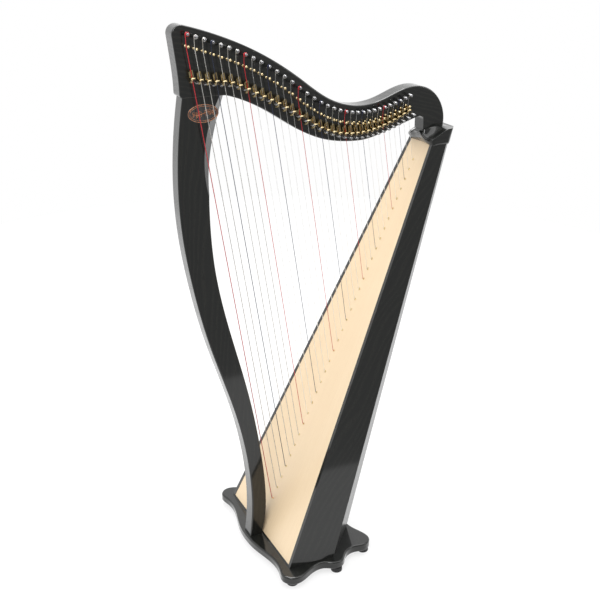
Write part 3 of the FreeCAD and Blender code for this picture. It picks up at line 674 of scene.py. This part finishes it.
def reach(outline, angle):
    """Distance from the cap's centre to a convex outline in one direction."""
    dx, dy = math.cos(angle), math.sin(angle)
    best = 0.0
    for (ax, ay), (bx, by) in zip(outline, outline[1:] + outline[:1]):
        ax, ay, bx, by = ax - CAP_CENTRE[0], ay, bx - CAP_CENTRE[0], by
        ex, ey = bx - ax, by - ay
        cross = dx * ey - dy * ex
        if abs(cross) < 1e-12:
            continue
        distance = (ax * ey - ay * ex) / cross
        share = (ax * dy - ay * dx) / cross
        if distance > 0 and -1e-9 <= share <= 1 + 1e-9:
            best = max(best, distance)
    return best


def soft_reach(outline, angle):
    """The same with its corners eased, more so on the side that faces the pillar."""
    spread = math.radians(3.0 - 6.0 * min(0.0, math.cos(angle)))
    return sum(reach(outline, angle + spread * i / 4) for i in range(-4, 5)) / 9


def rim_height(x, y):
    """Height of the cap's rim: it climbs to the back, and arches over the soundboard."""
    rear = smooth(0.268, 0.328, x)
    front = 1.0 - smooth(0.270, 0.276, x)
    arch = RIM_ARCH * front * (1.0 - smooth(0.008, 0.050, abs(y)))
    return CAP_LOW + RIM_LOW + max(RIM_REAR_RISE * rear, arch)


def cap_column(low, high, inner):
    """Points of the cap's surface in one direction, from its foot over the rim to the neck."""
    lip = CAP_LIP * (1 - smooth(0.282, 0.290, low.x)) * min(1.0, abs(low.y) / 0.05) ** 2
    foot = Vector((low.x, low.y, CAP_LOW - lip))
    rim = Vector((high.x, high.y, rim_height(high.x, high.y)))
    nose = CAP_NOSE * (1 - smooth(0.266, 0.285, high.x))
    column = [foot]
    for share in (0.15, 0.4, 0.65, 0.85):
        point = foot.lerp(rim, share)
        point.x -= nose * math.sin(math.pi * share) * 0.5
        column.append(point)
    soft = CAP_EDGE + nose * 0.6
    inward = (inner - high).normalized()
    for turn in (0.0, 0.25, 0.5, 0.75, 1.0):
        bend = turn * math.pi / 2
        drop = Vector((0, 0, soft * (1 - math.sin(bend))))
        column.append(rim - drop + inward * soft * (1 - math.cos(bend)))
    crest = column[-1]
    climb = CAP_SEAT + COVE_RISE - crest.z
    for share in (0.15, 0.32, 0.5, 0.66, 0.8, 0.9, 1.0):
        point = crest.lerp(Vector((inner.x, inner.y, crest.z)), share)
        point.z += climb * share ** 2.4 - COVE_DIP * math.sin(math.pi * share) * (1 - share)
        column.append(point)
    return column


def shoulder_cap():
    """Moulded cap: flared sides, a rounded nose and a cove that sweeps up to the neck."""
    outlines = [mirrored_outline(half) for half in (CAP_BOTTOM, CAP_TOP, STEM)]
    centre = Vector((CAP_CENTRE[0], 0, 0))
    work = bmesh.new()
    columns = []
    for i in range(180):
        angle = 2 * math.pi * i / 180 - math.pi
        direction = Vector((math.cos(angle), math.sin(angle), 0))
        low, high, inner = (centre + direction * soft_reach(o, angle) for o in outlines)
        columns.append([work.verts.new(point) for point in cap_column(low, high, inner)])
    skin(work, [list(level) for level in zip(*columns)], 0)
    item = piece("moulded_cap", work, [LACQUER["cap"]])
    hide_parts("shoulder_cap")


# ------------------------------------------------------------------------- badge
def ellipse(half, sides=96):
    turn = 2 * math.pi / sides
    return [(half[0] * math.cos(i * turn), half[1] * math.sin(i * turn)) for i in range(sides)]


def badge():
    """Black enamel oval with two copper lines and a plain leaf scroll."""
    low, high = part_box("badge")
    centre, half = (low + high) / 2, (high - low) / 2
    side, up, out = Vector((1, 0, 0)), Vector((0, 0, 1)), Vector((0, -1, 0))
    work = bmesh.new()
    rings = []
    for at, shrink in ((-1.0, 0.0), (0.4, 0.0), (0.8, 0.0003), (0.9, 0.0008)):
        outline = ellipse((half.x - shrink, half.z - shrink))
        rings.append(ring(work, centre + out * (half.y * at), side, up, outline))
    skin(work, rings, 0)
    face = centre + out * (half.y * 0.9)
    for shrink, radius in ((0.0014, 0.00055), (0.0050, 0.00035)):
        outline = ellipse((half.x - shrink, half.z - shrink), 72)
        closed_tube(work, [face + side * a + up * b for a, b in outline], radius, 1)
    tube(work, [face + side * a + up * b for a, b in vine_stem()], 0.0005, 6, 1)
    for leaf in vine_leaves():
        closed_tube(work, [face + side * a + up * b for a, b in leaf], 0.0004, 1)
    item = piece("oval_badge", work, [ENAMEL, COPPER])
    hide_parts("badge")


def closed_tube(work, line, radius, material):
    """Round tube along a closed line on the badge's face."""
    count, sides = len(line), 8
    out = Vector((0, -1, 0))
    rings = []
    for i in range(count):
        direction = (line[(i + 1) % count] - line[i - 1]).normalized()
        rings.append(ring(work, line[i], direction.cross(out), out, circle(radius, sides)))
    skin(work, rings + [rings[0]], material, close=False)


VINE_SWING = 0.0028
VINE_WAVE = 0.0075
LEAF_PLACES = (-0.020, -0.012, -0.004, 0.004, 0.012, 0.020)
LEAF_LENGTH = 0.0085
LEAF_SHRINK = 0.12
LEAF_WIDTH = 0.24
LEAF_LEAN = 38


def vine_height(x):
    return VINE_SWING * math.sin(x / VINE_WAVE)


def vine_stem():
    """A plain waving stem along the badge."""
    return [(x / 1000, vine_height(x / 1000)) for x in range(-25, 26)]


def vine_leaves():
    """Pointed leaves in pairs along the stem, smaller towards its ends."""
    leaves = []
    for x in LEAF_PLACES:
        for side in (-1, 1):
            lean = math.radians(90 - LEAF_LEAN * math.copysign(1.0, x)) * side
            c, s = math.cos(lean), math.sin(lean)
            length = LEAF_LENGTH - LEAF_SHRINK * abs(x)
            leaf = []
            for i in range(20):
                turn = 2 * math.pi * i / 20
                a = length * (1 - math.cos(turn)) / 2
                b = length * LEAF_WIDTH * math.sin(turn)
                leaf.append((x + c * a - s * b, vine_height(x) + s * a + c * b))
            leaves.append(leaf)
    return leaves


# ------------------------------------------------------------------------ studio
def area_light(name, place, target, size, power):
    """White square lamp; the size is its side."""
    data = bpy.data.lights.new(name, "AREA")
    data.shape = "SQUARE"
    data.size = size
    data.energy = power
    lamp = bpy.data.objects.new(name, data)
    lamp.location = place
    lamp.rotation_euler = (Vector(target) - Vector(place)).to_track_quat("-Z", "Y").to_euler()
    bpy.context.scene.collection.objects.link(lamp)


# The room's brightness from behind the camera (low) to behind the harp (high).
ROOM_FADE = {"From Min": -0.9, "From Max": 0.5, "To Min": 0.42, "To Max": 1.0}


def surroundings():
    """White surroundings for the camera, and a softer room for light and reflections."""
    world = bpy.data.worlds.new("studio")
    bpy.context.scene.world = world
    world.use_nodes = True
    tree = world.node_tree
    room = tree.nodes["Background"]
    direction = tree.nodes.new("ShaderNodeTexCoord")
    split = tree.nodes.new("ShaderNodeSeparateXYZ")
    depth = tree.nodes.new("ShaderNodeMapRange")
    depth.interpolation_type = "SMOOTHSTEP"
    for socket, value in ROOM_FADE.items():
        depth.inputs[socket].default_value = value
    tree.links.new(direction.outputs["Generated"], split.inputs[0])
    tree.links.new(split.outputs["Y"], depth.inputs["Value"])
    tree.links.new(depth.outputs["Result"], room.inputs["Strength"])
    room.inputs["Color"].default_value = (1, 1, 1, 1)
    white = tree.nodes.new("ShaderNodeBackground")
    white.inputs["Color"].default_value = (1, 1, 1, 1)
    white.inputs["Strength"].default_value = 1.0
    rays = tree.nodes.new("ShaderNodeLightPath")
    blend = tree.nodes.new("ShaderNodeMixShader")
    tree.links.new(rays.outputs["Is Camera Ray"], blend.inputs[0])
    tree.links.new(room.outputs[0], blend.inputs[1])
    tree.links.new(white.outputs[0], blend.inputs[2])
    tree.links.new(blend.outputs[0], tree.nodes["World Output"].inputs["Surface"])


# The floor lies just under the feet and reaches past both sides of the picture.
FLOOR_CENTRE = Vector((0.35, 1.1, -0.0002))
FLOOR_RADIUS = 2.1
CAMERA_PLACE = (-1.0434, -2.1643, 1.5783)
CAMERA_LOOK = (0.3917, 0.8458, -0.3622)
LENS = 63.47
SENSOR = 36.0


def floor():
    work = bmesh.new()
    edge = ring(work, FLOOR_CENTRE, Vector((1, 0, 0)), Vector((0, 1, 0)), circle(FLOOR_RADIUS, 96))
    work.faces.new(edge)
    piece("studio_floor", work, [studio_floor()], None)


def camera():
    data = bpy.data.cameras.new("camera")
    data.lens = LENS
    data.sensor_width = SENSOR
    view = bpy.data.objects.new("camera", data)
    view.location = CAMERA_PLACE
    view.rotation_euler = Vector(CAMERA_LOOK).to_track_quat("-Z", "Y").to_euler()
    bpy.context.scene.collection.objects.link(view)
    bpy.context.scene.camera = view


def studio():
    surroundings()
    floor()
    camera()
    area_light("overhead", (0, 0, 3.4), (0, 0, 0), size=4.0, power=90)
    area_light("sparkle", (0.35, 1.6, 3.3), (0, 0, 1.1), size=1.1, power=38)
    area_light("key", (-2.2, -2.4, 3.0), (0, 0, 0.6), size=1.4, power=45)
    area_light("fill", (2.6, -1.8, 2.2), (0, 0, 0.6), size=1.2, power=14)
    bpy.context.scene.view_settings.view_transform = "Standard"


finish_cad_nodes()
strings()
bridge_pins()
tuning_pins()
for number in range(STRING_COUNT):
    lever(number)
shoulder_cap()
badge()
studio()
